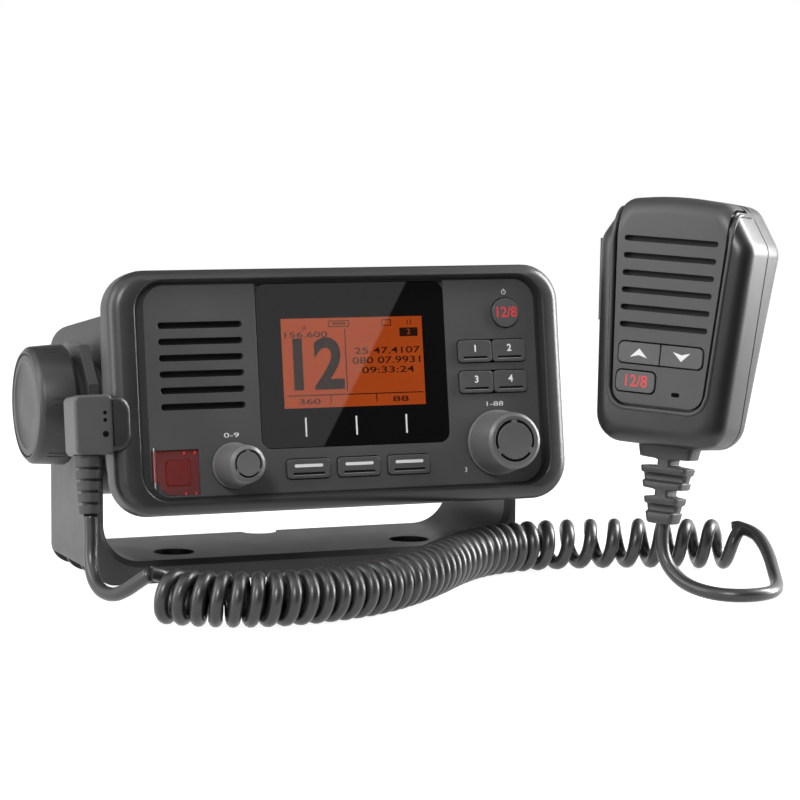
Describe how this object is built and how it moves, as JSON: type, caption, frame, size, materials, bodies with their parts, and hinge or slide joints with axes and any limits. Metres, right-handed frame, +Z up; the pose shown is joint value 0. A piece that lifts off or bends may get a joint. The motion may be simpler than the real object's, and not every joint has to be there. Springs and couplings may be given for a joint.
{
  "type": "vhf marine radio",
  "caption": "Fixed-mount marine radio with colour-lit display, keys and push knobs, hung in a tilting U bracket, with a fist microphone on a curly cord.",
  "frame": {"origin": "on the mounting surface, at the middle of the bracket's foot, under the tilt axis", "axes": "+X to the right and +Z up as seen by someone facing the set, +Y away from them"},
  "size_m": [0.2589, 0.2088, 0.1396],
  "materials": {
    "casing": "fine-textured satin dark grey",
    "bracket": "fine-textured satin dark grey",
    "panel": "smooth satin dark grey",
    "key": "satin dark grey with white marks",
    "knob": "soft satin dark grey",
    "rubber": "matt black",
    "cord": "satin black",
    "glass": "black printed glass",
    "screen": "backlit amber",
    "cover": "see-through red",
    "red": "red",
    "casting": "powder-coated black",
    "steel": "stainless",
    "brass": "plain",
    "board": "green board",
    "cloth": "black"
  },
  "bodies": {
    "bracket_and_handset": {"bracket": "bracket", "gimbal_washers": "rubber", "radio_lead": "cord", "curly_cord": "cord", "handset_lead": "cord", "handset_front_shell": "casing", "handset_rear_shell": "casing", "handset_seal": "rubber", "handset_face_panel": "panel", "handset_speaker": "steel", "handset_board": "board", "microphone_capsule": "steel", "handset_key_mat": "rubber", "talk_switch": "key", "hanger_stud": "key", "handset_boot": "rubber"},
    "radio": {"front_bezel": "casing", "mic_socket": "key", "face_panel": "panel", "display_window": "glass", "display_module": "screen", "speaker_mesh": "cloth", "speaker": "steel", "housing_seal": "rubber", "rear_housing": "casting", "antenna_socket": "steel", "power_gland": "rubber", "case_screws": "steel", "front_board": "board", "main_board": "board", "key_membrane": "rubber", "encoders": "steel", "cover_hinge_pin": "steel", "gimbal_inserts": "brass", "plug_body": "casing", "plug_boot": "rubber"},
    "left_knob": {"left_gimbal_knob": "knob", "left_knob_cap": "knob", "left_stud": "steel"},
    "right_knob": {"right_gimbal_knob": "knob", "right_knob_cap": "knob", "right_stud": "steel"},
    "volume_spindle": {"volume_shaft": "steel"},
    "volume_push": {"volume_knob": "knob"},
    "select_spindle": {"select_shaft": "steel"},
    "select_push": {"select_knob": "knob"},
    "cover": {"distress_cover": "cover"},
    "distress": {"distress_button": "red"},
    "power": {"power_key": "key"},
    "talk": {"talk_button": "key"},
    "channel_up": {"up_key": "key"},
    "channel_down": {"down_key": "key"},
    "quick_channel": {"channel_key": "key"},
    "left_soft_key_body": {"left_soft_key": "key"},
    "middle_soft_key_body": {"middle_soft_key": "key"},
    "right_soft_key_body": {"right_soft_key": "key"},
    "upper_left_key_body": {"upper_left_key": "key"},
    "upper_right_key_body": {"upper_right_key": "key"},
    "lower_left_key_body": {"lower_left_key": "key"},
    "lower_right_key_body": {"lower_right_key": "key"}
  },
  "joints": [
    {"name": "tilt", "type": "hinge", "parent": "bracket_and_handset", "child": "radio", "pos_m": [0, 0, 0.0625], "axis": [-1, 0, 0], "range_deg": [-8.8, 11.2], "deforming": ["radio_lead"]},
    {"name": "left_knob_turn", "type": "hinge", "parent": "radio", "child": "left_knob", "pos_m": [0, 0, 0.0625], "axis": [-1, 0, 0], "continuous": true},
    {"name": "right_knob_turn", "type": "hinge", "parent": "radio", "child": "right_knob", "pos_m": [0, 0, 0.0625], "axis": [1, 0, 0], "continuous": true},
    {"name": "volume_turn", "type": "hinge", "parent": "radio", "child": "volume_spindle", "pos_m": [-0.0425, -0.06516, 0.04618], "axis": [0, 0.9882, -0.153], "continuous": true},
    {"name": "volume_press", "type": "slide", "parent": "volume_spindle", "child": "volume_push", "axis": [0, 0.9882, -0.153], "range_m": [0, 0.0006], "stiffness_N_per_m": 400},
    {"name": "select_turn", "type": "hinge", "parent": "radio", "child": "select_spindle", "pos_m": [0.0578, -0.06452, 0.05033], "axis": [0, 0.9882, -0.153], "continuous": true},
    {"name": "select_press", "type": "slide", "parent": "select_spindle", "child": "select_push", "axis": [0, 0.9882, -0.153], "range_m": [0, 0.0006], "stiffness_N_per_m": 400},
    {"name": "left_soft_key_press", "type": "slide", "parent": "radio", "child": "left_soft_key_body", "axis": [0, 0.9882, -0.153], "range_m": [0, 0.0006], "stiffness_N_per_m": 200},
    {"name": "middle_soft_key_press", "type": "slide", "parent": "radio", "child": "middle_soft_key_body", "axis": [0, 0.9882, -0.153], "range_m": [0, 0.0006], "stiffness_N_per_m": 200},
    {"name": "right_soft_key_press", "type": "slide", "parent": "radio", "child": "right_soft_key_body", "axis": [0, 0.9882, -0.153], "range_m": [0, 0.0006], "stiffness_N_per_m": 200},
    {"name": "upper_left_key_press", "type": "slide", "parent": "radio", "child": "upper_left_key_body", "axis": [0, 0.9882, -0.153], "range_m": [0, 0.0006], "stiffness_N_per_m": 200},
    {"name": "upper_right_key_press", "type": "slide", "parent": "radio", "child": "upper_right_key_body", "axis": [0, 0.9882, -0.153], "range_m": [0, 0.0006], "stiffness_N_per_m": 200},
    {"name": "lower_left_key_press", "type": "slide", "parent": "radio", "child": "lower_left_key_body", "axis": [0, 0.9882, -0.153], "range_m": [0, 0.0006], "stiffness_N_per_m": 200},
    {"name": "lower_right_key_press", "type": "slide", "parent": "radio", "child": "lower_right_key_body", "axis": [0, 0.9882, -0.153], "range_m": [0, 0.0006], "stiffness_N_per_m": 200},
    {"name": "power_press", "type": "slide", "parent": "radio", "child": "power", "axis": [0, 0.9882, -0.153], "range_m": [0, 0.0006], "stiffness_N_per_m": 200},
    {"name": "distress_press", "type": "slide", "parent": "radio", "child": "distress", "axis": [0, 0.9882, -0.153], "range_m": [0, 0.0006], "stiffness_N_per_m": 200},
    {"name": "cover_swing", "type": "hinge", "parent": "radio", "child": "cover", "pos_m": [-0.0708, -0.06486, 0.04421], "axis": [0, -0.153, -0.9882], "range_deg": [0, 90], "stiffness_Nm_per_rad": 0.0015},
    {"name": "channel_up_press", "type": "slide", "parent": "bracket_and_handset", "child": "channel_up", "axis": [0.8106, 0.5783, -0.0923], "range_m": [0, 0.0006], "stiffness_N_per_m": 200},
    {"name": "channel_down_press", "type": "slide", "parent": "bracket_and_handset", "child": "channel_down", "axis": [0.8106, 0.5783, -0.0923], "range_m": [0, 0.0006], "stiffness_N_per_m": 200},
    {"name": "quick_channel_press", "type": "slide", "parent": "bracket_and_handset", "child": "quick_channel", "axis": [0.8106, 0.5783, -0.0923], "range_m": [0, 0.0006], "stiffness_N_per_m": 200},
    {"name": "talk_press", "type": "slide", "parent": "bracket_and_handset", "child": "talk", "axis": [0.5774, -0.8155, -0.0384], "range_m": [0, 0.0014], "stiffness_N_per_m": 600}
  ]
}
